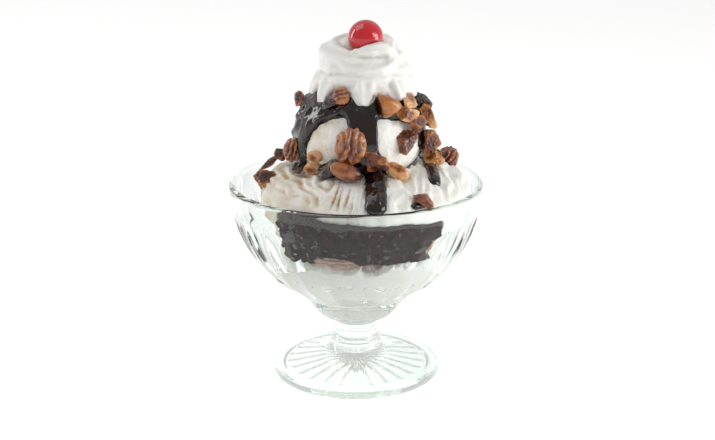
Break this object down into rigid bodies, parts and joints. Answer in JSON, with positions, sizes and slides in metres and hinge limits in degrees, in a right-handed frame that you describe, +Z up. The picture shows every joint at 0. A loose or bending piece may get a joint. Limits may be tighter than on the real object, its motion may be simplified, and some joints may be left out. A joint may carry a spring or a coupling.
{
  "type": "brownie sundae",
  "caption": "Brownie sundae in a footed, fluted glass dish: ice cream round a brownie, a scoop under hot fudge and glazed nuts, whipped cream and a cherry on top.",
  "frame": {"origin": "centre of the dish's foot, on the surface that it stands on", "axes": "+Z up along the dish's axis; -Y towards the front of the serving; +X to its right"},
  "size_m": [0.114, 0.114, 0.1635],
  "materials": {
    "glass": "clear pressed glass, polished",
    "vanilla_ice_cream": "frozen, torn and scooped, slightly wet",
    "brownie_crumb": "moist dark crumb",
    "hot_fudge": "thick and glossy",
    "whipped_cream": "soft satin",
    "cherry": "candied, glossy",
    "pecan": "ridged kernel under a thin sugar glaze",
    "almond": "thin sugar glaze",
    "peanut": "roasted, thin sugar glaze",
    "praline": "nut pieces under thick caramel glaze"
  },
  "bodies": {
    "root": {"almond_02": "almond", "almond_13": "almond", "almond_14": "almond", "almond_30": "almond", "almond_35": "almond", "brownie": "brownie_crumb", "cherry": "cherry", "glass_dish": "glass", "hot_fudge": "hot_fudge", "ice_cream_base": "vanilla_ice_cream", "ice_cream_mound": "vanilla_ice_cream", "ice_cream_scoop": "vanilla_ice_cream", "peanut_04": "peanut", "peanut_05": "peanut", "peanut_08": "peanut", "peanut_18": "peanut", "peanut_20": "peanut", "peanut_21": "peanut", "peanut_25": "peanut", "peanut_28": "peanut", "peanut_33": "peanut", "peanut_63": "peanut", "pecan_01": "pecan", "pecan_03": "pecan", "pecan_09": "pecan", "pecan_10": "pecan", "pecan_11": "pecan", "pecan_15": "pecan", "pecan_17": "pecan", "pecan_22": "pecan", "pecan_23": "pecan", "pecan_26": "pecan", "pecan_27": "pecan", "pecan_31": "pecan", "pecan_32": "pecan", "pecan_36": "pecan", "pecan_37": "pecan", "pecan_61": "pecan", "praline_06": "praline", "praline_07": "praline", "praline_12": "praline", "praline_16": "praline", "praline_19": "praline", "praline_24": "praline", "praline_29": "praline", "praline_34": "praline", "praline_62": "praline", "whipped_cream": "whipped_cream"}
  },
  "joints": []
}
